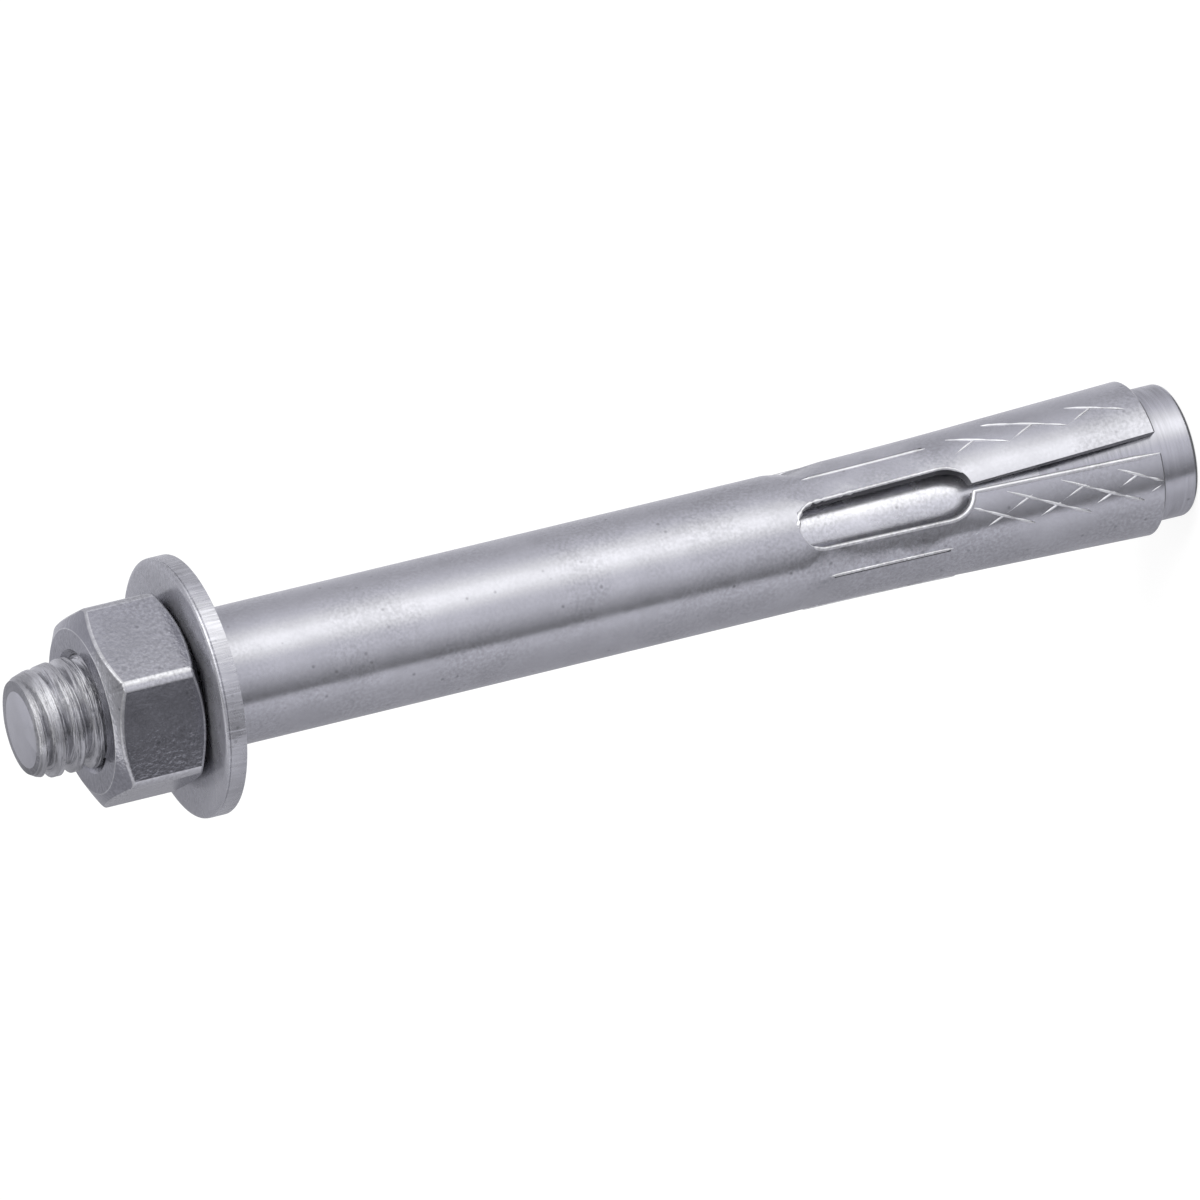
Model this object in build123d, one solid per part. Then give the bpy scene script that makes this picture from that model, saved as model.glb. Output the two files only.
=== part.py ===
from build123d import *
import os
from math import pi, radians, tan

# Sleeve anchor with a hex nut, in millimetres. It stands on the end of its stud, nut up.
# The origin is on the axis, in the plane where the washer bears on the sleeve and the fixture.

# Sleeve: sheet steel rolled into a tube, whose lower end is slit into fingers
sleeve_od = 9.525        # the size of the hole that the anchor goes into
sheet = 0.85
plain_length = 43.3      # unbroken tube between the washer and the windows
window_length = 13.0     # also the stretch over which the fingers bend outwards
window_width = 3.6
finger_length = 13.9     # straight fingers below the windows
finger_count = 3
slit_kerf = 0.15         # cut between two fingers before they were spread
seam_gap = 0.25          # open butt joint of the rolled sheet
sleeve_edge = 0.12       # broken outer edge at both ends of the tube
score_angles = (47.5, -47.5, 180.0)      # one pressed line on each finger, from the first window
score_top = 2.1          # from the top of the bend down to the lines
score_length = 8.7
score_width = 0.24
score_depth = 0.1

# Stud: threaded at the top, forged into a cone and a full-width tip at the bottom
stud_play = 0.06         # radial room between the thread and the sleeve
thread_pitch = 1.411
thread_inside = 22.0     # thread that runs on below the washer
stud_proud = 4.6         # thread that stands out of the nut
stud_end_chamfer = 0.75
tip_relief = 0.12        # radial step from the sleeve's line in to the tip
tip_proud = 2.9          # stud that stands out below the fingers
tip_edge = 0.35
cone_angle = 8.0
seat_land = 0.08         # radial height of the cone that is left below the fingers
seat_gap = 0.03          # room between the fingers and the cone

# Washer: punched, with its upper rim drawn down by the punch
washer_od = 18.0
washer_thickness = 1.5
washer_play = 0.5        # radial room round the thread
washer_roll_width = 0.45
washer_roll_drop = 0.25
washer_bore_edge = 0.15

# Hex nut
nut_width = 12.7         # across the flats
nut_height = 6.75
nut_face_od = 11.4       # round face that the chamfers leave
nut_chamfer_angle = 30.0
nut_corner_round = 0.8
nut_play = 0.05          # radial room between the bore and the crests of the thread
nut_mouth = 0.4          # radial width of the countersink at each end of the bore

# Sizes that follow from those above
sleeve_r = sleeve_od / 2
bore_r = sleeve_r - sheet
thread_r = bore_r - stud_play
shank_r = thread_r - 0.325 * thread_pitch      # blank that a thread of this pitch is rolled on
tip_r = sleeve_r - tip_relief
sleeve_length = plain_length + window_length + finger_length
window_end = plain_length + window_length
washer_top = washer_thickness
nut_top = washer_top + nut_height
stud_top = nut_top + stud_proud

# The fingers rest on the cone, and that sets how far they stand out. They turn by a few degrees,
# twice the angle whose tangent is half_turn.
finger_spread = tip_r - seat_land + seat_gap + sheet - sleeve_r
half_turn = finger_spread / (window_length + 2 * finger_length)
finger_slope = 2 * half_turn / (1 - half_turn**2)
bend_radius = window_length * (1 + half_turn**2) / (2 * half_turn)


def spread_at(depth):
    """How far the sleeve's wall stands out at this depth below the washer."""
    bent = min(max(depth - plain_length, 0), window_length)
    straight = max(depth - window_end, 0)
    return bend_radius - (bend_radius**2 - bent**2) ** 0.5 + finger_slope * straight


def wall_point(depth, inset=0.0):
    """Point of the sleeve's section, this far inside its outer face."""
    sine = min(max(depth - plain_length, 0), window_length) / bend_radius
    return (sleeve_r + spread_at(depth) - inset * (1 - sine**2) ** 0.5, -depth - inset * sine)


def wall_bend(top, bottom, inset=0.0):
    """Arc of the sleeve's section between two depths beside the windows."""
    return ThreePointArc(*(wall_point(depth, inset) for depth in (top, (top + bottom) / 2, bottom)))


def half_slit(depth):
    """Half the width that is open between two fingers at this depth."""
    return slit_kerf / 2 + pi * spread_at(depth) / finger_count


def turned(section):
    """Solid made by turning a section about the anchor's axis."""
    return revolve(Plane.XZ * section, Axis.Z)


def turned_polygon(*points):
    return turned(make_face(Polyline(*points, close=True)))


def rolled_wall():
    """The sleeve's wall with its fingers bent outwards, before anything is cut from it."""
    outer = Line(wall_point(0), wall_point(plain_length)) + wall_bend(plain_length, window_end)
    outer += Line(wall_point(window_end), wall_point(sleeve_length))
    inner = Line(wall_point(0, sheet), wall_point(plain_length, sheet))
    inner += wall_bend(plain_length, window_end, sheet)
    inner += Line(wall_point(window_end, sheet), wall_point(sleeve_length, sheet))
    ends = [Line(wall_point(depth), wall_point(depth, sheet)) for depth in (0, sleeve_length)]
    section = make_face(outer.edges() + inner.edges() + [end.edge() for end in ends])
    outer_corners = [section.vertices().sort_by_distance(Vector(*wall_point(depth)))[0]
                     for depth in (0, sleeve_length)]
    return turned(chamfer(outer_corners, sleeve_edge))


def radial_cut(outline):
    """Cut whose sides lie on planes through the axis, from outlines at two distances from it."""
    inside, outside = bore_r / 2, sleeve_r + 2 * finger_spread + sheet
    faces = [Plane(origin=(0, -reach, 0), x_dir=(1, 0, 0), z_dir=(0, -1, 0)) * outline(reach)
             for reach in (inside, outside)]
    return loft(Sketch() + faces, ruled=True)


def on_radius(half_width, depth, reach):
    """Half width that a radial side has at another distance from the axis."""
    return half_width * reach / (sleeve_r + spread_at(depth))


def window_outline(reach):
    """Long window with round ends, a little wider below, where the fingers stand apart."""
    upper = window_width / 2
    lower = upper + half_slit(window_end) - half_slit(plain_length)
    upper_depth, lower_depth = plain_length + upper, window_end - lower
    upper_side = on_radius(upper, upper_depth, reach)
    lower_side = on_radius(lower, lower_depth, reach)
    arch = EllipticalCenterArc((0, -upper_depth), upper_side, upper, 0, arc_size=180)
    foot = EllipticalCenterArc((0, -lower_depth), lower_side, lower, 180, arc_size=180)
    left = Line((-upper_side, -upper_depth), (-lower_side, -lower_depth))
    right = Line((lower_side, -lower_depth), (upper_side, -upper_depth))
    return make_face(arch.edges() + left.edges() + foot.edges() + right.edges())


def slit_outline(reach):
    """Slit from inside the window to past the fingers' ends, opened by their spread."""
    top_depth, end_depth = window_end - window_width / 2, sleeve_length + 2 * sheet
    top = on_radius(half_slit(top_depth), top_depth, reach)
    end = on_radius(half_slit(end_depth), end_depth, reach)
    return make_face(Polyline((-top, -top_depth), (-end, -end_depth), (end, -end_depth),
                              (top, -top_depth), close=True))


def seam_cut():
    """Gap of the rolled sheet's butt joint, from the top down to a window."""
    height = plain_length + window_width
    return Pos(0, -sleeve_r, -height / 2) * Box(seam_gap, 2 * sheet + sleeve_r, height + 1)


def score_cut():
    """Pressed line on a finger, along the bend of the wall."""
    top, bottom = plain_length + score_top, plain_length + score_top + score_length
    groove = wall_bend(top, bottom, score_depth)
    clear = sleeve_r + finger_spread + sheet
    start, end = groove @ 0, groove @ 1
    back = Polyline(end, (clear, end.Y), (clear, start.Y), start)
    section = Plane.XZ * make_face(groove.edges() + back.edges())
    return Rot(0, 0, -90) * extrude(section, score_width / 2, both=True)


def build_sleeve():
    sleeve = rolled_wall()
    window, slit, score = radial_cut(window_outline), radial_cut(slit_outline), score_cut()
    for finger in range(finger_count):
        place = Rot(0, 0, 360 / finger_count * finger)
        sleeve -= place * window
        sleeve -= place * slit
    for angle in score_angles:
        sleeve -= Rot(0, 0, angle) * score
    return sleeve - Rot(0, 0, 360 / finger_count) * seam_cut()


def build_stud():
    """Rod turned in one piece: chamfered thread, blank, cone and full-width tip."""
    cone_rise = 1 / tan(radians(cone_angle))
    cone_bottom = -sleeve_length - seat_land * cone_rise
    cone_top = cone_bottom + (tip_r - shank_r) * cone_rise
    tip_end = -sleeve_length - tip_proud
    runout = thread_r - shank_r
    section = make_face(Polyline(
        (0, tip_end), (tip_r, tip_end), (tip_r, cone_bottom), (shank_r, cone_top),
        (shank_r, -thread_inside - runout), (thread_r, -thread_inside),
        (thread_r, stud_top - stud_end_chamfer), (thread_r - stud_end_chamfer, stud_top),
        (0, stud_top), close=True))
    rim = section.vertices().sort_by_distance(Vector(tip_r, tip_end))[0]
    return turned(fillet(rim, tip_edge))


def build_washer():
    """Punched disc: the punch draws its upper rim down and leaves the lower one sharp."""
    washer_r = washer_od / 2
    hole_r = thread_r + washer_play
    rim_start = (washer_r - washer_roll_width, washer_top)
    rim_end = (washer_r, washer_top - washer_roll_drop)
    roll = TangentArc(rim_start, rim_end, tangent=(1, 0))
    rest = Polyline(rim_end, (washer_r, 0), (hole_r, 0), (hole_r, washer_top), rim_start)
    section = make_face(roll.edges() + rest.edges())
    punched_edge = section.vertices().sort_by_distance(Vector(hole_r, washer_top))[0]
    return turned(fillet(punched_edge, washer_bore_edge))


def build_hex_nut():
    corner_r = nut_width / 3**0.5
    face_r = nut_face_od / 2
    fall = (corner_r - face_r) * tan(radians(nut_chamfer_angle))
    hexagon = RegularPolygon(nut_width / 2, 6, major_radius=False, rotation=30)
    prism = Pos(0, 0, washer_top) * extrude(fillet(hexagon.vertices(), nut_corner_round), nut_height)
    prism &= turned_polygon(
        (0, washer_top), (face_r, washer_top), (corner_r, washer_top + fall),
        (corner_r, nut_top - fall), (face_r, nut_top), (0, nut_top))
    hole_r = thread_r + nut_play
    mouth_r = hole_r + nut_mouth
    return prism - turned_polygon(
        (0, washer_top), (mouth_r, washer_top), (hole_r, washer_top + nut_mouth),
        (hole_r, nut_top - nut_mouth), (mouth_r, nut_top), (0, nut_top))


pieces = {
    "sleeve": build_sleeve(),
    "stud": build_stud(),
    "washer": build_washer(),
    "hex_nut": build_hex_nut(),
}

os.makedirs("parts", exist_ok=True)
for name, piece in pieces.items():
    export_step(piece, f"parts/{name}.step")
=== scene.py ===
"""Looks of a sleeve anchor: threads, pressed hatching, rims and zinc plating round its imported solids.

The anchor stands on the end of its stud, nut up. A piece is shaped on the bench in millimetres and is
scaled to metres when it is finished. Angles round the axis are counted from -Y towards +X.
"""
import logging
from collections.abc import Callable, Iterator
from contextlib import contextmanager
from dataclasses import dataclass
from enum import Enum
from functools import cache
from itertools import pairwise
from math import atan, cos, hypot, pi, radians, sin, sqrt, tan

import bpy
import numpy as np
from mathutils import Matrix, Vector


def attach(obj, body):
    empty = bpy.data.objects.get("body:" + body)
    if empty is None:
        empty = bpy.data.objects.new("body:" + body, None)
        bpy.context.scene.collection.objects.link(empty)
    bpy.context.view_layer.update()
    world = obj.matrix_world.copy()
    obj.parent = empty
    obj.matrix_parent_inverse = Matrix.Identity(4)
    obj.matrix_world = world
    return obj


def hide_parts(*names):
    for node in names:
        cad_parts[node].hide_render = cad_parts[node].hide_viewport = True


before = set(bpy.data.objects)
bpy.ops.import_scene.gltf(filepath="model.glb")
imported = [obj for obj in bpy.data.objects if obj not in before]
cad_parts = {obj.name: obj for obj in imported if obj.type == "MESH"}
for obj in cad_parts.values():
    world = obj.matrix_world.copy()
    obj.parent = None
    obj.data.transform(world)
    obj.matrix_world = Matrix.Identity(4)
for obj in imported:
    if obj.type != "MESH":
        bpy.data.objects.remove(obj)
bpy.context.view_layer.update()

MM = 0.001
TURN = 2 * pi
LEVEL = 0.999      # rise of a normal that points straight up, or nearly
log = logging.getLogger("anchor")

Piece = bpy.types.Object
Socket = bpy.types.NodeSocket
Pair = tuple[float, float]
Run = list[tuple[Vector, float]]
Sorter = Callable[[Vector, Vector], int]


def quarter_turn(steps: int) -> list[float]:
    """Angles from none to a quarter turn, in even steps."""
    return [pi / 2 * step / steps for step in range(steps + 1)]


def towards(around: float, up: float) -> Vector:
    """The direction at a bearing from -Y and a height above the horizon, both in radians."""
    return Vector((cos(up) * sin(around), -cos(up) * cos(around), sin(up)))


class Shading:
    """The nodes of one material or of the world, joined by short calls."""

    def __init__(self, owner: bpy.types.Material | bpy.types.World) -> None:
        """Opens the owner's node tree."""
        owner.use_nodes = True
        self.tree = owner.node_tree

    def feed(self, socket: Socket, value: object) -> None:
        """Sets an input.

        Args:
            socket: the input.
            value: another node's socket, which is linked to it, or a plain value.
        """
        if isinstance(value, Socket):
            self.tree.links.new(value, socket)
        else:
            socket.default_value = value

    def node(self, kind: str, inputs: dict[str | int, object], **settings: object) -> bpy.types.Node:
        """Adds a node.

        Args:
            kind: its type's name without ShaderNode.
            inputs: plain values or other nodes' sockets, by input.
            settings: the node's own settings.

        Returns:
            The new node.
        """
        made = self.tree.nodes.new("ShaderNode" + kind)
        for name, value in settings.items():
            setattr(made, name, value)
        for name, value in inputs.items():
            self.feed(made.inputs[name], value)
        return made

    def place(self, scale: tuple[float, float, float] = (1, 1, 1)) -> Socket:
        """The place on the object, stretched by a factor along each axis."""
        place = self.node("TexCoord", {}).outputs["Object"]
        return self.node("Mapping", {"Vector": place, "Scale": scale}).outputs["Vector"]

    def noise(self, place: Socket, cells: float, detail: float = 3) -> Socket:
        """A cloudy value with this many cells a metre."""
        return self.node("TexNoise", {"Vector": place, "Scale": cells, "Detail": detail}).outputs["Fac"]

    def math(self, operation: str, first: object, second: object) -> Socket:
        """Works out one value from two."""
        return self.node("Math", {0: first, 1: second}, operation=operation).outputs["Value"]

    def ramp(self, source: Socket, low: float, high: float, start: float, end: float) -> Socket:
        """Stretches the span from low to high into the span from start to end."""
        return self.node("MapRange", {"Value": source, "From Min": low, "From Max": high,
                                      "To Min": start, "To Max": end}).outputs["Result"]

    def seen_directly(self) -> Socket:
        """Tells the rays that show things from the light that falls on them.

        Returns:
            1 for rays from the camera, a reflection or glass, and 0 for all others.
        """
        path = self.node("LightPath", {})
        mirrored = self.math("MAXIMUM", path.outputs["Is Glossy Ray"], path.outputs["Is Transmission Ray"])
        return self.math("MAXIMUM", path.outputs["Is Camera Ray"], mirrored)

    def surface(self, shader: Socket) -> None:
        """Makes a shader the material's surface."""
        self.feed(self.tree.nodes["Material Output"].inputs["Surface"], shader)


class Streak(Enum):
    """Direction of the fine marks that forming leaves in a surface."""

    ALONG = (1.0, 1.0, 0.08)
    AROUND = (0.06, 0.06, 1.0)
    NONE = (1.0, 1.0, 1.0)


@dataclass(frozen=True)
class ZincFinish:
    """Zinc plate over steel: a cloudy satin metal with small dents and the marks of forming.

    Args:
        name: its own name.
        tone: colour of the clean plate.
        darkest: share of the tone left in the deepest fleck, and on cut walls under the darkest painted
            shade.
        roughness: how matt the plate is.
        cloud: depth of the soft patches.
        grain: depth of the fine flecks, which lie in clusters.
        metal: how metallic it is; the rest is dull bloom.
        dented: share of the surface's cells with a small dark dent.
        dent_shade: share of the tone left in a dent.
        dent_depth: a dent's depth in millimetres.
        streak: direction of the forming marks.
        marks: their depth in millimetres.
        mark_size: their width in millimetres.
        cut_wall_painted_shade: share of the tone left on walls cut through a tube, as painted shade.
    """

    name: str
    tone: tuple[float, float, float] = (0.585, 0.585, 0.63)
    darkest: float = 0.1
    roughness: float = 0.22
    cloud: float = 0.12
    grain: float = 0.38
    metal: float = 0.9
    dented: float = 0.05
    dent_shade: float = 0.66
    dent_depth: float = 0.004
    streak: Streak = Streak.NONE
    marks: float = 0.005
    mark_size: float = 0.42
    cut_wall_painted_shade: float = 1.0

    def dents(self, bench: Shading) -> Socket:
        """Scatters small round dents.

        Args:
            bench: the material's nodes.

        Returns:
            1 on the clean plate, falling to 0 in a dent.
        """
        cells = bench.node("TexVoronoi", {"Vector": bench.place(), "Scale": 1500.0, "Randomness": 1.0})
        chance = bench.node("SeparateColor", {"Color": cells.outputs["Color"]}).outputs["Red"]
        clean = bench.math("GREATER_THAN", chance, self.dented)
        return bench.math("MAXIMUM", clean, bench.ramp(cells.outputs["Distance"], 0.08, 0.26, 0, 1))

    def painted_cut_wall_shade(self, bench: Shading) -> Socket:
        """Paints shade on the walls that are cut through a tube.

        Args:
            bench: the material's nodes.

        Returns:
            1 on the tube's round faces, falling to the painted shade on the cut walls.
        """
        place = bench.place((1, 1, 0))
        flat = bench.node("VectorMath", {0: place}, operation="NORMALIZE").outputs["Vector"]
        normal = bench.node("TexCoord", {}).outputs["Normal"]
        facing = bench.node("VectorMath", {0: flat, 1: normal}, operation="DOT_PRODUCT").outputs["Value"]
        return bench.ramp(bench.math("ABSOLUTE", facing, 0.0), 0.3, 0.7, self.cut_wall_painted_shade, 1)

    def shade(self, bench: Shading, dents: Socket) -> Socket:
        """Darkens the plate by soft patches, clustered flecks, dents and painted shade on cut walls.

        Args:
            bench: the material's nodes.
            dents: 1 on the clean plate and 0 in a dent.

        Returns:
            1 where the plate has its full tone, and less elsewhere.
        """
        patches = bench.ramp(bench.noise(bench.place(), 300), 0.3, 0.7, 1 - self.cloud, 1)
        clusters = bench.ramp(bench.noise(bench.place(), 160, 2), 0.42, 0.62, 0.25, 1)
        flecks = bench.noise(bench.place(self.streak.value), 4200, 2)
        grain = bench.math("MULTIPLY", bench.ramp(flecks, 0.34, 0.66, self.grain, 0), clusters)
        shade = bench.math("MULTIPLY", patches, bench.math("SUBTRACT", 1.0, grain))
        shade = bench.math("MULTIPLY", shade, bench.ramp(dents, 0, 1, self.dent_shade, 1))
        # painted shade on the walls cut through a tube
        if self.cut_wall_painted_shade < 1:
            shade = bench.math("MULTIPLY", shade, self.painted_cut_wall_shade(bench))
        return shade

    def relief(self, bench: Shading, dents: Socket) -> Socket:
        """Raises the forming marks and sinks the dents.

        Args:
            bench: the material's nodes.
            dents: 1 on the clean plate and 0 in a dent.

        Returns:
            The normal with both.
        """
        marks = bench.noise(bench.place(self.streak.value), 1 / (self.mark_size * MM), 4)
        height = bench.math("ADD", bench.math("MULTIPLY", marks, self.marks),
                            bench.math("MULTIPLY", dents, self.dent_depth))
        return bench.node("Bump", {"Height": height, "Strength": 1.0, "Distance": MM}).outputs["Normal"]

    @cache
    def material(self) -> bpy.types.Material:
        """Builds the finish's material once.

        Returns:
            The material, on Object coordinates.
        """
        made = bpy.data.materials.new(self.name)
        bench = Shading(made)
        dents = self.dents(bench)
        dark = (*(part * self.darkest for part in self.tone), 1)
        tint = bench.node("Mix", {"Factor": self.shade(bench, dents), "A": dark, "B": (*self.tone, 1)},
                          data_type="RGBA")
        matt = bench.ramp(bench.noise(bench.place(), 900), 0.3, 0.7,
                          self.roughness * 0.85, self.roughness * 1.2)
        shader = made.node_tree.nodes["Principled BSDF"]
        bench.feed(shader.inputs["Metallic"], self.metal)
        bench.feed(shader.inputs["Base Color"], tint.outputs["Result"])
        bench.feed(shader.inputs["Roughness"], matt)
        bench.feed(shader.inputs["Normal"], self.relief(bench, dents))
        return made


STUD_FINISHES = (
    ZincFinish("stud_plate", streak=Streak.AROUND, marks=0.008),
    ZincFinish("rolled_thread", (0.74, 0.74, 0.77), roughness=0.13, cloud=0.55, grain=0.6, dented=0.25,
               streak=Streak.AROUND, marks=0.14, mark_size=0.12),
    ZincFinish("sheared_end", (0.36, 0.36, 0.39), roughness=0.3, cloud=0.45, marks=0.05, mark_size=0.25),
    ZincFinish("drawn_blank", (0.82, 0.82, 0.86), roughness=0.24, grain=0.22, dented=0.15),
)
NUT_FINISHES = (
    ZincFinish("nut_plate", (0.42, 0.42, 0.46), roughness=0.15, cloud=0.2, grain=0.3, metal=0.97,
               dented=0.15, marks=0.03, mark_size=0.3),
    # the lighter edges and corners are partly wear, partly a painted highlight
    ZincFinish("worn_nut_edge_and_sheen", (0.68, 0.68, 0.71), roughness=0.24, cloud=0.4, marks=0.03),
    ZincFinish("worn_nut_corner_and_sheen", (0.64, 0.64, 0.67), roughness=0.12, dented=0.0),
)
WASHER_FINISHES = (
    ZincFinish("washer_plate", (0.48, 0.48, 0.52), roughness=0.27, grain=0.25, metal=0.8, dented=0.02),
    ZincFinish("washer_rim", (0.68, 0.68, 0.72), roughness=0.26, cloud=0.3, dented=0.35,
               streak=Streak.ALONG, marks=0.05, mark_size=0.3),
)
# the sleeve's cut walls get painted shade, down to the darkest tone
SLEEVE_PLATE = ZincFinish("sleeve_plate", (0.575, 0.575, 0.615), roughness=0.21, grain=0.24, dented=0.1,
                          cut_wall_painted_shade=0.0)
# burrs along the cut edges, lighter than the plate: partly burnished metal, partly a painted highlight
BURNISHED_AND_SHEEN = ZincFinish("burnished_edge_and_sheen", (0.9, 0.9, 0.92), roughness=0.32, cloud=0.2, dented=0.0, marks=0.02)
# the pressed ridges and score lips get a tone far lighter than the plate, a painted highlight
PRESSED_RIDGE_PAINTED_SHEEN = ZincFinish("pressed_ridge_painted_sheen", (0.95, 0.95, 0.97), roughness=0.3, cloud=0.25, dented=0.0, marks=0.02)


def added(name: str, data: bpy.types.ID) -> Piece:
    """Adds an object that shows this data to the scene."""
    bpy.context.collection.objects.link(made := bpy.data.objects.new(name, data))
    return made


def choose_only(piece: Piece) -> None:
    """Selects one object and no other, and makes it the active one.

    Args:
        piece: the object.
    """
    bpy.ops.object.select_all(action="DESELECT")
    piece.select_set(True)
    bpy.context.view_layer.objects.active = piece


@contextmanager
def editing(piece: Piece, kind: str = "VERT") -> Iterator[None]:
    """Opens a mesh object in edit mode with everything selected.

    Args:
        piece: the object.
        kind: what is selected there, VERT, EDGE or FACE.
    """
    choose_only(piece)
    bpy.ops.object.mode_set(mode="EDIT")
    bpy.ops.mesh.select_mode(type=kind)
    bpy.ops.mesh.select_all(action="SELECT")
    yield
    bpy.ops.object.mode_set(mode="OBJECT")


class Form:
    """A closed mesh on the bench, in millimetres, round the anchor's own axis."""

    def __init__(self, name: str, piece: Piece) -> None:
        """Takes over a mesh object under a new name."""
        self.piece = piece
        piece.name = piece.data.name = name

    @classmethod
    def traced(cls, name: str, outline: list[Pair]) -> "Form":
        """Draws an outline in the plane of the axis by extruding one point from place to place.

        Args:
            name: the new form's name.
            outline: distances from the axis and heights.

        Returns:
            The drawn line, not yet turned.
        """
        places = [Vector((reach, 0, height)) for reach, height in outline]
        bpy.ops.mesh.primitive_plane_add(size=1, location=(0, 0, 0))
        form = cls(name, bpy.context.object)
        with editing(form.piece):
            bpy.ops.mesh.merge(type="CENTER")
            bpy.ops.transform.translate(value=places[0])
            for here, there in pairwise(places):
                bpy.ops.mesh.extrude_region_move(TRANSFORM_OT_translate={"value": there - here})
        return form

    def spun(self, steps: int = 128) -> "Form":
        """Turns the drawn line about the axis into a closed body.

        Args:
            steps: points in the turn.

        Returns:
            This form.
        """
        with editing(self.piece):
            bpy.ops.mesh.spin(steps=steps, angle=TURN, center=(0, 0, 0), axis=(0, 0, 1))
        return self.closed()

    def closed(self) -> "Form":
        """Merges doubled points and turns all faces outwards.

        Returns:
            This form.
        """
        with editing(self.piece):
            bpy.ops.mesh.remove_doubles(threshold=1e-4)
            bpy.ops.mesh.normals_make_consistent(inside=False)
        return self

    def fitted(self, kind: str, **settings: object) -> None:
        """Adds a modifier and applies it.

        Args:
            kind: the modifier's type.
            settings: its own settings.
        """
        choose_only(self.piece)
        modifier = self.piece.modifiers.new(kind.lower(), kind)
        for setting, value in settings.items():
            setattr(modifier, setting, value)
        bpy.ops.object.modifier_apply(modifier=modifier.name)

    def joined(self, how: str, other: "Form") -> None:
        """Cuts this form by another, or adds it, and puts the other away.

        Args:
            how: UNION, DIFFERENCE or INTERSECT.
            other: the second form, which is used up.
        """
        self.fitted("BOOLEAN", operation=how, solver="EXACT", object=other.piece)
        bpy.data.objects.remove(other.piece)

    def softened(self, width: float, sharper_than: float) -> None:
        """Rounds every edge that turns by more than an angle in degrees."""
        self.fitted("BEVEL", width=width, segments=3, limit_method="ANGLE", angle_limit=radians(sharper_than),
                    use_clamp_overlap=False)

    def finished(self, finishes: tuple[ZincFinish, ...], body: str, slot: str, stands_for: str | None = None,
                 smooth_to: float = 32, sorter: Sorter | None = None, flat_faced: bool = False) -> Piece:
        """Scales the form to metres, dresses it and attaches it to its body.

        Args:
            finishes: what it is dressed in.
            body: the body that it rides on.
            slot: the record's material slot; not used.
            stands_for: the node that it replaces, if any.
            smooth_to: edges that turn by less, in degrees, are shaded smooth.
            sorter: chooses each face's finish from its middle, in millimetres, and its normal.
            flat_faced: keeps the large faces flat beside rounded edges.

        Returns:
            The finished piece.
        """
        piece = self.piece
        piece.data.materials.clear()
        for finish in finishes:
            piece.data.materials.append(finish.material())
        if sorter:
            for face in piece.data.polygons:
                face.material_index = sorter(face.center, face.normal)
        piece.scale = (MM, MM, MM)
        choose_only(piece)
        bpy.ops.object.transform_apply(location=True, rotation=True, scale=True)
        bpy.ops.object.shade_smooth_by_angle(angle=radians(smooth_to))
        if flat_faced:
            self.fitted("WEIGHTED_NORMAL", keep_sharp=True, weight=100)
        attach(piece, body)
        if stands_for:
            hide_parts(stands_for)
        log.info("%s: %d faces", piece.name, len(piece.data.polygons))
        return piece


@dataclass(frozen=True)
class Thread:
    """The coarse right-hand thread that the stud and the nut share.

    Args:
        pitch: rise of one turn.
        crest_r: outside of the stud's thread.
        depth: how deep the rolled thread is.
        crest_share: share of the pitch that the flattened crest takes.
        crest_edge: depth and height of the crest's rounded edges.
        root_share: share of the pitch that the rounded root takes.
        root_edge: how far the root's rounded sides reach out.
        fold: depth and half the height of the fold that rolling leaves along the crest.
        start: height of a crest at the angle that the thread is drawn at.
        steps: points in one turn.
    """

    pitch: float = 1.411
    crest_r: float = 3.8525
    depth: float = 0.74
    crest_share: float = 0.42
    crest_edge: Pair = (0.03, 0.04)
    root_share: float = 0.12
    root_edge: float = 0.05
    fold: Pair = (0.07, 0.08)
    start: float = 0.55
    steps: int = 96

    def profile(self, crest: float, root: float) -> list[Pair]:
        """One ridge of the thread, from groove to groove.

        Args:
            crest: the ridge's outer reach.
            root: the groove's inner reach.

        Returns:
            Distances from the axis and heights over one pitch.
        """
        middle = self.pitch / 2
        half_root, low_edge = self.pitch * self.root_share / 2, middle - self.pitch * self.crest_share / 2
        rise = [
            (root, 0), (root, half_root * 0.6), (root + self.root_edge, half_root),
            (crest - self.crest_edge[0], low_edge), (crest, low_edge + self.crest_edge[1]),
            (crest, middle - self.fold[1]), (crest - self.fold[0], middle),
        ]
        return rise + [(reach, self.pitch - height) for reach, height in reversed(rise[:-1])]

    def form(self, name: str, bottom: float, top: float, room: float = 0.0,
             root_r: float | None = None) -> Form:
        """Rolls a closed threaded rod between two heights.

        Args:
            name: the form's name.
            bottom: lower end.
            top: upper end.
            room: radial room round the thread, for a nut's bore.
            root_r: bottom of the groove, where it isn't the stud's own.

        Returns:
            The threaded rod with flat ends.
        """
        turns = int((top - bottom) / self.pitch) + 4
        low = bottom - 2 * self.pitch
        low += (self.start - self.pitch / 2 - low) % self.pitch
        ridge = self.profile(self.crest_r + room, root_r or self.crest_r - self.depth)
        form = Form.traced(name, [(reach, height + low) for reach, height in ridge])
        form.fitted("SCREW", axis="Z", angle=TURN, screw_offset=self.pitch, iterations=turns,
                    steps=self.steps, render_steps=self.steps, use_smooth_shade=True)
        form.closed()
        for height, way in ((bottom, -1), (top, 1)):
            with editing(form.piece):
                bpy.ops.mesh.bisect(plane_co=(0, 0, height), plane_no=(0, 0, way), use_fill=True,
                                    clear_outer=True)
        return form.closed()


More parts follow.
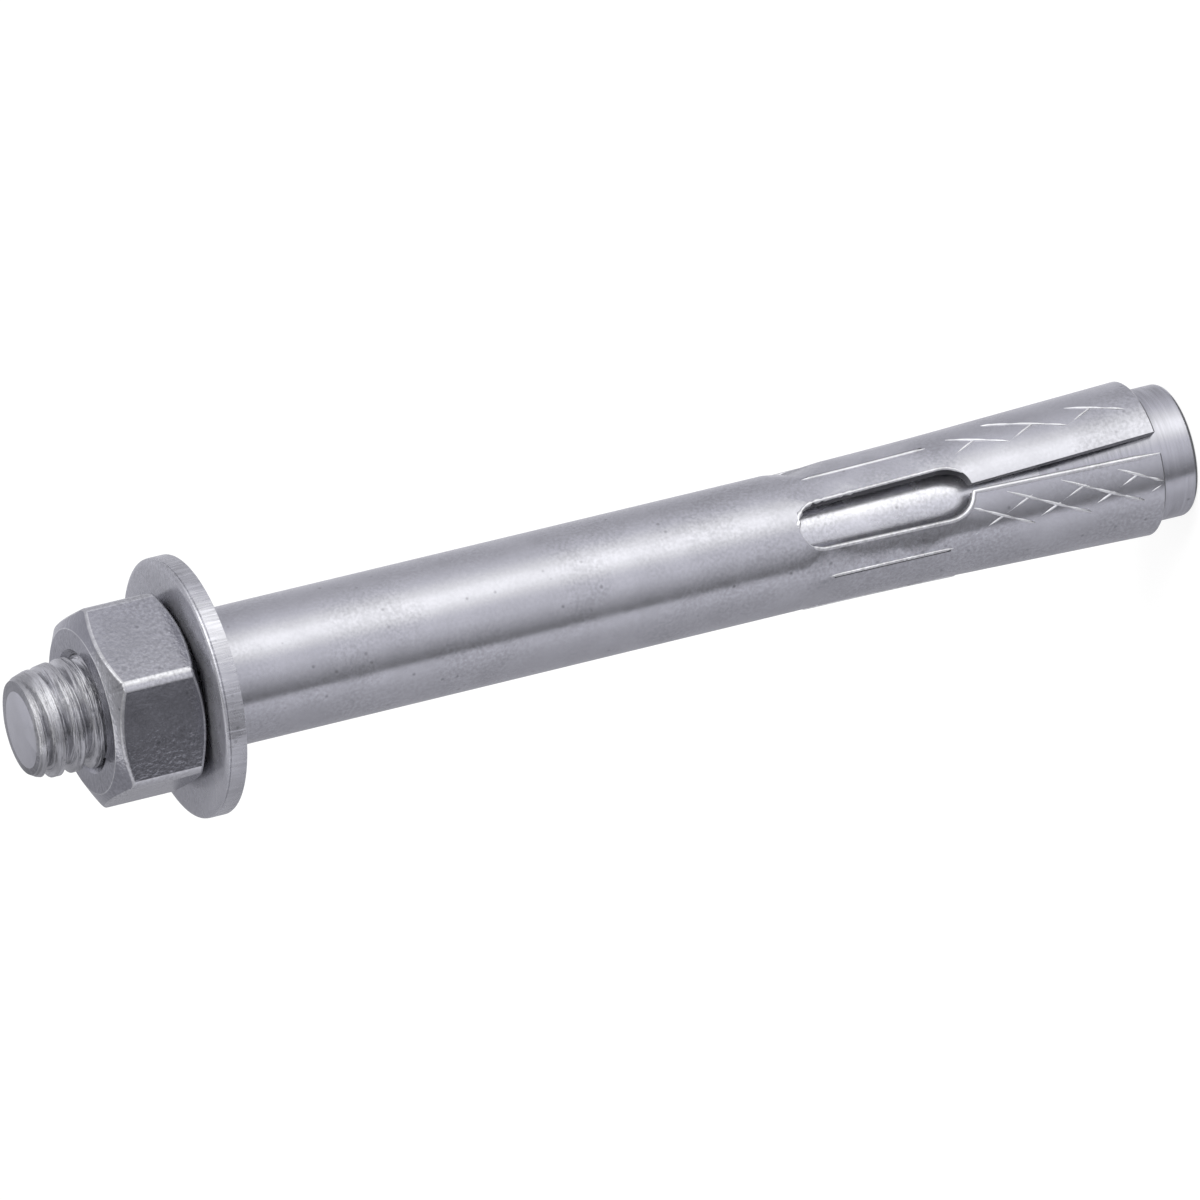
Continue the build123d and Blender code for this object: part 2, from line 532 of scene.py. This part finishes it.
@dataclass
class Stud:
    """The rod: rolled thread, plain blank, forged cone and full-width tip."""

    thread: Thread
    finishes: tuple[ZincFinish, ...] = STUD_FINISHES
    top: float = 12.85
    end_taper: tuple[Pair, ...] = (   # distance from the axis and drop from the top
        (6.0, 4.0), (3.98, 3.2), (3.68, 1.2), (3.46, 0.50), (3.24, 0.14), (2.65, 0.0))
    end_shift: Vector = Vector((-0.12, 0.02, 0))     # the taper stands a little off the axis,
    face_shift: Vector = Vector((-0.18, -0.33, 0))   # and its flat, sheared face a little more
    thread_end: float = -22.0
    runout: float = 1.2           # the thread fades out over this much below its end
    core_inset: float = 0.5       # radial overlap of the thread's core and the blank
    blank_r: float = 3.394
    cone_top: float = -61.886
    cone_bottom: float = -70.769
    tip_r: float = 4.6425
    tip_end: float = -73.1
    tip_edge: float = 0.35

    def rounded_rim(self) -> list[Pair]:
        """Points of the tip's rounded rim, from the end face up to the wall.

        Returns:
            Distances from the axis and heights.
        """
        centre_r, centre_z = self.tip_r - self.tip_edge, self.tip_end + self.tip_edge
        return [(centre_r + self.tip_edge * sin(turn), centre_z - self.tip_edge * cos(turn))
                for turn in quarter_turn(6)]

    def end_limits(self) -> Form:
        """Draws the space inside the tapered thread and its sheared end.

        Returns:
            The body that the thread is cut to there.
        """
        low, wide = self.thread_end - 4, self.end_taper[0][0]
        taper = [(reach, self.top - drop) for reach, drop in self.end_taper]
        end = Form.traced("end_limits", [(0, low), (wide, low), *taper, (0, self.top)]).spun()
        with editing(end.piece):
            bpy.ops.transform.translate(value=self.end_shift)
            bpy.ops.mesh.select_all(action="DESELECT")
            bpy.ops.object.mode_set(mode="OBJECT")
            for point in end.piece.data.vertices:
                point.select = point.co.z > self.top - 0.01
            bpy.ops.object.mode_set(mode="EDIT")
            bpy.ops.transform.translate(value=self.face_shift)
        return end

    def runout_limits(self) -> Form:
        """Draws the space inside the thread's lower end, where it fades out.

        Returns:
            The body that the thread is cut to there.
        """
        foot, head = self.thread_end - self.runout, self.top + 0.5
        crest = self.thread.crest_r + 0.01
        core = self.blank_r - self.core_inset
        return Form.traced("runout_limits", [
            (0, foot), (core, foot), (crest, self.thread_end), (crest, head), (0, head)]).spun()

    def sort_face(self, middle: Vector, normal: Vector) -> int:
        """Sorts the plated tip, the rolled thread, the sheared end's rim and the drawn blank.

        Args:
            middle: the face's middle.
            normal: its normal.

        Returns:
            Its finish's place in the list.
        """
        if middle.z > self.top - 0.13 and 0.30 < normal.z < LEVEL:
            return 2
        if middle.z > self.thread_end - 0.3:
            return 0 if normal.z > LEVEL else 1
        return 3 if middle.z > self.cone_top + 0.1 else 0

    def build(self) -> Piece:
        """Turns the rod and rolls its thread.

        Returns:
            The finished stud.
        """
        rolled = self.thread.form("rolled_thread", self.thread_end - 1.5, self.top + 1)
        rolled.joined("INTERSECT", self.runout_limits())
        rolled.joined("INTERSECT", self.end_limits())
        rod = Form.traced("stud_threaded", [
            (0, self.tip_end), *self.rounded_rim(), (self.tip_r, self.cone_bottom),
            (self.blank_r, self.cone_top), (self.blank_r, self.thread_end - 0.3),
            (self.blank_r - self.core_inset, self.thread_end), (0, self.thread_end),
        ]).spun()
        rod.joined("UNION", rolled)
        return rod.finished(self.finishes, "stud", "stud_zinc", "stud", smooth_to=30, sorter=self.sort_face)


@dataclass
class HexNut:
    """The hexagon nut, chamfered at both ends, with a countersunk and threaded bore."""

    thread: Thread
    finishes: tuple[ZincFinish, ...] = NUT_FINISHES
    width: float = 12.7
    bottom: float = 1.5
    height: float = 6.75
    face_od: float = 11.4
    chamfer_angle: float = 30.0
    corner_round: float = 0.8
    flat_round: float = 0.15      # round the border of each flat
    face_round: float = 0.06      # round the border of each end face
    mouth_r: float = 4.3025
    bore_r: float = 3.14
    thread_room: float = 0.05     # radial room between the two threads
    over: float = 0.2             # how far cutters reach past it

    def block(self) -> Form:
        """Draws the hexagon bar with rounded corners, points towards +Y and -Y.

        Returns:
            The bar, longer than the nut.
        """
        bpy.ops.mesh.primitive_cylinder_add(vertices=6, radius=self.width / sqrt(3), depth=self.height + 3,
                                            location=(0, 0, self.bottom + self.height / 2))
        block = Form("nut_threaded", bpy.context.object)
        bpy.ops.object.transform_apply(location=True, rotation=True, scale=True)
        with editing(block.piece, "EDGE"):
            bpy.ops.mesh.select_all(action="DESELECT")
            bpy.ops.object.mode_set(mode="OBJECT")
            points = block.piece.data.vertices
            for edge in block.piece.data.edges:
                low, high = (points[index].co for index in edge.vertices)
                edge.select = hypot(low.x - high.x, low.y - high.y) < 1e-3
            bpy.ops.object.mode_set(mode="EDIT")
            bpy.ops.mesh.bevel(offset=self.corner_round * tan(radians(30)), segments=8, affect="EDGES")
        return block

    def sort_face(self, middle: Vector, normal: Vector) -> int:
        """Sorts the lighter edges round the chamfers and the rounded corners from all other faces: worn, and
        with a painted highlight.

        Args:
            middle: the face's middle.
            normal: its normal.

        Returns:
            Its finish's place in the list.
        """
        if hypot(middle.x, middle.y) < self.mouth_r + 0.1:
            return 0
        rise = abs(normal.z)
        if rise < 0.03:
            sides = (Vector((cos(turn), sin(turn), 0)) for turn in (0, pi / 3, -pi / 3))
            return 0 if max(abs(normal.dot(side)) for side in sides) > 0.9995 else 2
        chamfer = abs(rise - cos(radians(self.chamfer_angle))) < 0.02
        return int(rise < 0.99 and not chamfer)

    def build(self) -> Piece:
        """Cuts the chamfers and the threaded bore.

        Returns:
            The finished nut.
        """
        top, over = self.bottom + self.height, self.over
        face_r, corner_r = self.face_od / 2, self.width / sqrt(3) + over
        fall = (corner_r - face_r) * tan(radians(self.chamfer_angle))
        blank = self.block()
        blank.joined("INTERSECT", Form.traced("chamfers", [
            (0, self.bottom), (face_r, self.bottom), (corner_r, self.bottom + fall),
            (corner_r, top - fall), (face_r, top), (0, top),
        ]).spun(160))
        blank.softened(self.flat_round, 45)
        blank.softened(self.face_round, 25)
        deep = self.mouth_r - self.bore_r
        blank.joined("DIFFERENCE", Form.traced("countersinks", [
            (0, self.bottom - over), (self.mouth_r + over, self.bottom - over),
            (self.bore_r, self.bottom + deep), (self.bore_r, top - deep),
            (self.mouth_r + over, top + over), (0, top + over),
        ]).spun(160))
        blank.joined("DIFFERENCE", self.thread.form("tap", self.bottom - 2, top + 2, self.thread_room,
                                                    self.bore_r - 0.02))
        return blank.finished(self.finishes, "hex_nut", "nut_zinc", "hex_nut", sorter=self.sort_face,
                              flat_faced=True)


@dataclass
class Washer:
    """The punched washer: rolled upper rim, a fine crease below it and a striated rim."""

    finishes: tuple[ZincFinish, ...] = WASHER_FINISHES
    od: float = 18.0
    thickness: float = 1.5
    hole_r: float = 4.3525
    roll_width: float = 0.45
    roll_drop: float = 0.25
    roll_inset: float = 0.01      # the rolled rim stands in by this
    crease: float = 0.08          # depth of the crease,
    crease_drops: Pair = (0.05, 0.11)   # its middle and its lower edge below the roll
    foot_edge: float = 0.09       # the rim's rounded lower edge
    bore_edge: float = 0.15       # the bore's rounded upper edge
    bore_foot: float = 0.05       # its lower edge

    def build(self) -> Piece:
        """Turns the washer's section.

        Returns:
            The finished washer.
        """
        rim, top, hole, foot = self.od / 2, self.thickness, self.hole_r, self.bore_foot
        low = top - self.roll_drop
        roll = [(rim - self.roll_inset - self.roll_width * (1 - sin(turn)),
                 top - self.roll_drop * (1 - cos(turn))) for turn in quarter_turn(8)]
        section = [
            *roll, (rim - self.crease, low - self.crease_drops[0]), (rim, low - self.crease_drops[1]),
            (rim, self.foot_edge), (rim - 0.03, 0.02), (rim - self.foot_edge, 0), (hole + foot, 0),
            (hole, foot), (hole, top - self.bore_edge), (hole + 0.05, top - 0.05),
            (hole + self.bore_edge, top), roll[0],
        ]
        disc = Form.traced("washer_disc", section).spun(192)
        return disc.finished(self.finishes, "washer", "washer_zinc", "washer", smooth_to=30,
                             sorter=lambda middle, _: int(hypot(middle.x, middle.y) > rim - 0.05))


@dataclass(frozen=True)
class Hatching:
    """The crossing lines pressed into one finger, in millimetres round the sheet from its slit.

    Args:
        falling: a falling line's place at no depth.
        rising: a rising line's place at no depth.
        pitch: spacing of the lines.
        field: the two edges between which falling lines show; the press bit unevenly.
        slant: how fast the second edge comes in, for each millimetre along the finger.
        links: the two edges between which rising lines show.
        last: depth below the washer at which the rising lines end.
        bare: share of the way from knot to knot that a rising line leaves bare.
        swell: share of the way over which it then grows to its full strength.
        knot: share of the way that a knot takes, and a rising line's strength in it.
        faint: where between knots a falling line is faintest, its strength there and its growth.
    """

    falling: float = 29.55
    rising: float = -16.4
    pitch: float = 1.995
    field: Pair = (2.5, 9.65)
    slant: float = 0.0
    links: Pair = (2.5, 9.65)
    last: float = 70.0
    bare: float = 0.2
    swell: float = 0.3
    knot: Pair = (0.05, 0.7)
    faint: tuple[float, float, float] = (0.40, 0.45, 2.2)

    def strength(self, across: float, depth: float, slope: float) -> float:
        """How strongly a line shows: a rising one short of the knots, a falling one nearly all along.

        Args:
            across: the place round the sheet.
            depth: its depth below the washer.
            slope: above 0 for a rising line.

        Returns:
            Share of the line's radius.
        """
        start, way = (self.falling, 1) if slope > 0 else (self.rising, -1)
        phase = (way * (across - start) + abs(slope) * depth) / self.pitch % 1
        if slope > 0:
            share, shown = self.knot
            return min(1.0, max(0.05, (phase - self.bare) / self.swell)) if phase > share else shown
        middle, least, growth = self.faint
        return min(1.0, least + growth * abs(phase - middle))


@dataclass
class Sleeve:
    """The rolled sleeve: its own solid, with pressed hatching on the fingers and lips at the cut edges."""

    finish: ZincFinish = SLEEVE_PLATE
    radius: float = 4.7625
    plain_length: float = 43.3
    window_length: float = 13.0
    window_width: float = 3.6
    finger_length: float = 13.9
    fingers: int = 3
    slit_kerf: float = 0.15
    finger_spread: float = 0.6775
    hatch_top: float = 56.0
    hatch_slope: float = 0.4515   # sideways run of a line for each millimetre along the sleeve
    hatch_step: float = 0.2       # spacing of the places along a line
    hatch_radii: Pair = (0.105, 0.085)   # of the falling and the rising lines
    hatchings: tuple[Hatching, ...] = (
        Hatching(falling=29.45, rising=-16.78, field=(2.3, 5.2), slant=0.12, links=(2.3, 3.42), last=68.0),
        Hatching(),
        Hatching(falling=34.08, rising=-20.2, pitch=1.83, field=(6.72, 9.5), links=(6.9, 8.92), bare=0.4))
    lip_r: float = 0.12
    torn_window: int = 0          # the window whose edge the punch tore
    torn_length: float = 4.5      # from its top
    score_top: float = 45.4
    score_length: float = 8.7
    score_width: float = 0.24
    score_angles: tuple[float, ...] = (47.5, -47.5, 180.0)

    @property
    def length(self) -> float:
        """Length of the whole sleeve."""
        return self.plain_length + self.window_length + self.finger_length

    def spread_at(self, depth: float) -> float:
        """Works out how far the bent fingers stand out.

        Args:
            depth: distance below the washer.

        Returns:
            How much further out the wall is there than at the top.
        """
        half_turn = self.finger_spread / (self.window_length + 2 * self.finger_length)
        bend_radius = self.window_length * (1 + half_turn**2) / (2 * half_turn)
        slope = 2 * half_turn / (1 - half_turn**2)
        bent = min(max(depth - self.plain_length, 0), self.window_length)
        straight = max(depth - self.plain_length - self.window_length, 0)
        return bend_radius - sqrt(bend_radius**2 - bent**2) + slope * straight

    def reach(self, depth: float) -> float:
        """Distance from the axis to the outer face at this depth."""
        return self.radius + self.spread_at(depth)

    def half_slit(self, depth: float) -> float:
        """Half the width that is open between two fingers at this depth."""
        return self.slit_kerf / 2 + pi * self.spread_at(depth) / self.fingers

    def on_wall(self, angle: float, depth: float, sunk: float) -> Vector:
        """A place at an angle from -Y in radians, sunk this far below the outer face."""
        reach = self.reach(depth) - sunk
        return Vector((reach * sin(angle), -reach * cos(angle), -depth))

    def wire(self, name: str, runs: list[Run], radius: float, sides: int = 2) -> Form:
        """Lays round wires along runs of points and makes them one mesh.

        Args:
            name: the form's name.
            runs: the points of each wire, in millimetres, with the share of the radius there.
            radius: the wire's radius.
            sides: bevel resolution of the wire.

        Returns:
            The wires as one form with tapered, closed ends.
        """
        line = bpy.data.curves.new(name, "CURVE")
        line.dimensions = "3D"
        line.bevel_depth = radius
        line.bevel_resolution = sides
        line.use_fill_caps = True
        for run in runs:
            spline = line.splines.new("POLY")
            spline.points.add(len(run) - 1)
            for index, (point, (place, share)) in enumerate(zip(spline.points, run)):
                point.co = (*place, 1)
                point.radius = share * min(1.0, 0.25 + 0.4 * min(index, len(run) - 1 - index))
        choose_only(added(name, line))
        bpy.ops.object.convert(target="MESH")
        return Form(name, bpy.context.object).closed()

    def hatch_run(self, finger: int, start: float, slope: float) -> Run:
        """Places along one pressed line of a finger's hatching.

        Args:
            finger: which finger.
            start: where the line would stand round the sheet at no depth.
            slope: sideways run for each millimetre of depth.

        Returns:
            The part of the line that lies in the hatched field, with its strength.
        """
        width = TURN * self.radius / self.fingers
        middle = TURN / self.fingers * (finger + 0.5)
        hatching = self.hatchings[finger]
        (low, high), slant, bottom = hatching.field, hatching.slant, self.length - 0.15
        if slope > 0:
            (low, high), slant, bottom = hatching.links, 0.0, hatching.last
        run = []
        for depth in np.arange(self.hatch_top, bottom, self.hatch_step):
            across = start + slope * depth
            if low <= across <= high - slant * (depth - self.hatch_top):
                spot = self.on_wall(middle + (across - width / 2) / self.reach(depth), depth, 0.01)
                run.append((spot, hatching.strength(across, depth, slope)))
        return run

    def hatching(self) -> list[Form]:
        """Presses the two sets of crossing lines into every finger.

        Returns:
            The falling and the rising lines.
        """
        falling, rising = [], []
        for finger, hatching in enumerate(self.hatchings):
            for index in range(-6, 9):
                shift = hatching.pitch * index
                falling.append(self.hatch_run(finger, hatching.falling + shift, -self.hatch_slope))
                rising.append(self.hatch_run(finger, hatching.rising + shift, self.hatch_slope))
        sets = zip(("hatch_falling", "hatch_rising"), (falling, rising), self.hatch_radii)
        return [self.wire(name, [run for run in runs if len(run) > 3], radius) for name, runs, radius in sets]

    def score_lips(self) -> Form:
        """Raises lips beside the pressed lines, on their sides next to the first window.

        Returns:
            The lips.
        """
        depths = np.arange(self.score_top - 0.4, self.score_top + self.score_length + 0.35, 0.3)
        runs = []
        for angle in self.score_angles:
            side = radians(angle) * (1 - self.score_width / 3 / (self.radius * radians(abs(angle))))
            runs.append([(self.on_wall(side, depth, 0.02), 1.0) for depth in depths])
        return self.wire("score_lips", runs, self.lip_r)

    def window_side(self) -> list[Pair]:
        """Follows the cut edge from the window's top down one side to the end of the slit.

        Returns:
            Half widths and depths.
        """
        upper, window_end = self.window_width / 2, self.plain_length + self.window_length
        lower = upper + self.half_slit(window_end) - self.half_slit(self.plain_length)
        side = [(upper * sin(turn), self.plain_length + upper * (1 - cos(turn))) for turn in quarter_turn(12)]
        for share in np.linspace(0, 1, 40)[1:-1]:
            side.append((upper + (lower - upper) * share, self.plain_length + upper
                         + (self.window_length - upper - lower) * share))
        foot = [(lower * cos(turn), window_end - lower * (1 - sin(turn))) for turn in quarter_turn(12)]
        side += [(across, depth) for across, depth in foot if across > self.half_slit(depth)]
        slit = np.linspace(window_end, self.length - 0.1, 16)
        return side + [(self.half_slit(depth), depth) for depth in slit]

    def lip_run(self, window: int) -> Run:
        """Places along one cut edge: up one side of a slit, where the burr stands, and round its window.

        Args:
            window: which window.

        Returns:
            The places, with the burr's size there.
        """
        middle = TURN / self.fingers * window
        window_end = self.plain_length + self.window_length
        half = [(atan(across / self.reach(depth)), depth) for across, depth in self.window_side()]
        round_window = [(angle, depth) for angle, depth in half if depth < window_end - 0.4]
        loop = [*reversed(round_window), *((-angle, depth) for angle, depth in half[1:])]
        return [(self.on_wall(middle + angle, depth, 0.05), self.burr(window, angle, depth))
                for angle, depth in loop]

    def burr(self, window: int, angle: float, depth: float) -> float:
        """Sizes the burr: heavy along one side, ragged where the punch tore, nearly none at the top.

        Args:
            window: which window.
            angle: from the window's middle, in radians.
            depth: distance below the washer.

        Returns:
            Share of the lip's radius.
        """
        from_top = depth - self.plain_length
        if window == self.torn_window and angle > 0.02 and from_top < self.torn_length:
            return 1.1 + 0.8 * sin(31 * from_top) * sin(12.7 * from_top)
        if from_top < 0.75:
            return 0.3
        if angle < 0:
            return 1.25 if from_top < self.window_length else 1.5
        return 0.95

    def build(self) -> list[Piece]:
        """Dresses the sleeve's own solid and adds what is pressed and cut into it.

        Returns:
            The added pieces.
        """
        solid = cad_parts["sleeve"]
        solid.data.materials.clear()
        solid.data.materials.append(self.finish.material())
        lips = self.wire("cut_lips", [self.lip_run(window) for window in range(self.fingers)], self.lip_r, 3)
        # pressed ridges and score lips in a light tone that paints their highlight
        pieces = [form.finished((PRESSED_RIDGE_PAINTED_SHEEN,), "sleeve", "sleeve_zinc", smooth_to=60)
                  for form in [*self.hatching(), self.score_lips()]]
        # the burrs' light tone is partly burnished metal, partly a painted highlight
        return [*pieces, lips.finished((BURNISHED_AND_SHEEN,), "sleeve", "sleeve_zinc", smooth_to=60)]


@dataclass(frozen=True)
class SoftBox:
    """A square lamp that faces the anchor, in metres and watts."""

    name: str
    bearing: float      # degrees round from the camera
    height: float       # degrees above the horizon
    distance: float     # from the camera's aim
    size: float
    power: float


@dataclass
class Studio:
    """Floor, white surround, lamps and the camera of the photograph."""

    floor_z: float = -0.0731
    azimuth: float = -7.0
    elevation: float = 20.545
    roll: float = 103.572
    distance: float = 1.13621
    lens: float = 501.38
    aim: tuple[float, float, float] = (-0.000884, 0.000116, -0.029768)
    lamps: tuple[SoftBox, ...] = (
        SoftBox("key_box", 42, 50, 0.9, 0.5, 6.0), SoftBox("fill_box", -75, 60, 1.0, 0.6, 2.5))
    world_light: float = 0.55     # how brightly the white world lights things; it looks like 1
    tent_r: float = 0.045
    tent_foot: float = -0.115
    tent_head: float = 0.077
    tent_glow: float = 2.0        # brightness of a cloth at full colour
    foot_tone: tuple[float, float, float, float] = (0.07, 0.07, 0.07, 1)
    cool: float = 0.035           # bluish tint of the tent wall
    neutral_from: float = 1.2     # except in tones as bright as this
    tent_tones: tuple[Pair, ...] = (   # bearing from the camera and brightness
        (-180, 0.52), (-160, 0.74), (-128, 0.63), (-112, 0.56), (-96, 0.63), (-76, 0.84), (-56, 1.28),
        (-44, 1.75), (-32, 1.66), (-22, 1.22), (-10, 0.90), (6, 0.84), (16, 0.66), (29, 0.43), (40, 0.22),
        (48, 0.10), (52, 0.78), (62, 0.75), (80, 0.56), (96, 0.50), (128, 0.44), (160, 0.44), (180, 0.50))

    def camera(self) -> None:
        """Places the camera: a long lens above the nut's end, turned so that the anchor lies across."""
        around, up, roll = (radians(angle) for angle in (self.azimuth, self.elevation, self.roll))
        back = towards(around, up)
        right = Vector((cos(around), sin(around), 0))
        above = back.cross(right)
        turned = Matrix((right * cos(roll) - above * sin(roll), right * sin(roll) + above * cos(roll), back))
        lens = bpy.data.cameras.new("camera")
        lens.lens, lens.sensor_width = self.lens, 36
        lens.clip_start, lens.clip_end = 0.01, 20
        camera = added("camera", lens)
        place = Matrix.Translation(Vector(self.aim) + back * self.distance)
        camera.matrix_world = place @ turned.transposed().to_4x4()
        bpy.context.scene.camera = camera

    def surround(self) -> None:
        """A white world that lights things more softly than it looks."""
        world = bpy.data.worlds.new("white_surround")
        bpy.context.scene.world = world
        bench = Shading(world)
        light = world.node_tree.nodes["Background"]
        bench.feed(light.inputs["Color"], (1, 1, 1, 1))
        bench.feed(light.inputs["Strength"], bench.ramp(bench.seen_directly(), 0, 1, self.world_light, 1.0))

    def floor(self) -> None:
        """A plain white floor that keeps a soft shadow of the anchor."""
        bpy.ops.mesh.primitive_plane_add(size=6, location=(0, 0, self.floor_z))
        floor = bpy.context.object
        floor.name = "floor"
        paint = bpy.data.materials.new("white_floor")
        bench = Shading(paint)
        matt = bench.node("BsdfDiffuse", {"Color": (0.80, 0.80, 0.80, 1)}).outputs["BSDF"]
        faint = bench.node("BsdfDiffuse", {"Color": (0.24, 0.24, 0.24, 1)}).outputs["BSDF"]
        glow = bench.node("Emission", {"Strength": 0.81}).outputs["Emission"]
        both = bench.node("AddShader", {0: faint, 1: glow}).outputs["Shader"]
        mixed = bench.node("MixShader", {"Fac": bench.seen_directly(), 1: matt, 2: both})
        bench.surface(mixed.outputs["Shader"])
        floor.data.materials.append(paint)
        floor.visible_glossy = False

    def wall_glow(self, bench: Shading, apart: bpy.types.Node) -> Socket:
        """The tent wall's tones by bearing: bluish where dim, neutral where bright.

        Args:
            bench: the cloth's nodes.
            apart: the place's separate coordinates.

        Returns:
            The colour.
        """
        angle = bench.math("ARCTAN2", apart.outputs["X"], bench.math("MULTIPLY", apart.outputs["Y"], -1.0))
        tones = bench.node("ValToRGB", {"Fac": bench.ramp(angle, -pi, pi, 1, 0)})
        ramp = tones.color_ramp
        turned = sorted(((bearing - self.azimuth + 180) % 360 / 360, tone)
                        for bearing, tone in self.tent_tones)
        while len(ramp.elements) < len(turned):
            ramp.elements.new(0.5)
        for element, (share, tone) in zip(ramp.elements, turned):
            cool, level = self.cool if tone < self.neutral_from else 0.0, tone / self.tent_glow
            element.position = share
            element.color = (level * (1 - cool), level * (1 - cool), level * (1 + cool), 1)
        return tones.outputs["Color"]

    def head_glow(self, bench: Shading, apart: bpy.types.Node) -> Socket:
        """The tent's head: dim towards the camera, grey in the middle and bright away from it."""
        grey = bench.ramp(apart.outputs["Y"], -0.030, 0.004, 0.10, 0.34)
        return bench.math("ADD", grey, bench.ramp(apart.outputs["Y"], 0.015, 0.024, 0, 0.45))

    def tent_part(self, piece: Piece, name: str, glow: Callable[[Shading, bpy.types.Node], object]) -> None:
        """Dresses a part of the tent in glowing cloth and hides it from all but reflections.

        Args:
            piece: the part.
            name: its name.
            glow: works out the cloth's colour from the place's separate coordinates.
        """
        piece.name = name
        bpy.ops.object.transform_apply(location=True)
        cloth = bpy.data.materials.new(name + "_cloth")
        bench = Shading(cloth)
        colour = glow(bench, bench.node("SeparateXYZ", {"Vector": bench.place()}))
        lit = bench.node("Emission", {"Color": colour, "Strength": self.tent_glow})
        bench.surface(lit.outputs["Emission"])
        piece.data.materials.append(cloth)
        piece.visible_camera = piece.visible_diffuse = piece.visible_shadow = False
        piece.visible_transmission = piece.visible_volume_scatter = False

    def tent(self) -> None:
        """A light tent close round the anchor, seen in the metal alone, that runs on below the floor."""
        middle, height = (self.tent_head + self.tent_foot) / 2, self.tent_head - self.tent_foot
        bpy.ops.mesh.primitive_cylinder_add(vertices=96, radius=self.tent_r, end_fill_type="NOTHING",
                                            depth=height, location=(0, 0, middle))
        self.tent_part(bpy.context.object, "tent_wall", self.wall_glow)
        for name, level, glow in (("tent_head", self.tent_head, self.head_glow),
                                  ("tent_foot", self.tent_foot, lambda *_: self.foot_tone)):
            bpy.ops.mesh.primitive_circle_add(vertices=96, radius=self.tent_r, fill_type="NGON",
                                              location=(0, 0, level))
            self.tent_part(bpy.context.object, name, glow)

    def lamp(self, lamp: SoftBox) -> None:
        """Hangs a lamp.

        Args:
            lamp: its place and power.
        """
        back = towards(radians(self.azimuth + lamp.bearing), radians(lamp.height))
        light = bpy.data.lights.new(lamp.name, "AREA")
        light.size, light.energy = lamp.size, lamp.power
        box = added(lamp.name, light)
        box.location = Vector(self.aim) + back * lamp.distance
        box.rotation_euler = back.to_track_quat("Z", "Y").to_euler()

    def build(self) -> None:
        """Sets up the whole studio."""
        self.camera()
        self.surround()
        self.floor()
        self.tent()
        for lamp in self.lamps:
            self.lamp(lamp)
        bpy.context.scene.view_settings.view_transform = "Standard"


def main() -> None:
    """Builds the anchor's pieces and the studio."""
    logging.basicConfig(level=logging.INFO, format="%(message)s")
    thread = Thread()
    pieces = [Stud(thread).build(), HexNut(thread).build(), Washer().build(), *Sleeve().build()]
    Studio().build()
    log.info("%d pieces added", len(pieces))


if __name__ == "__main__":
    main()
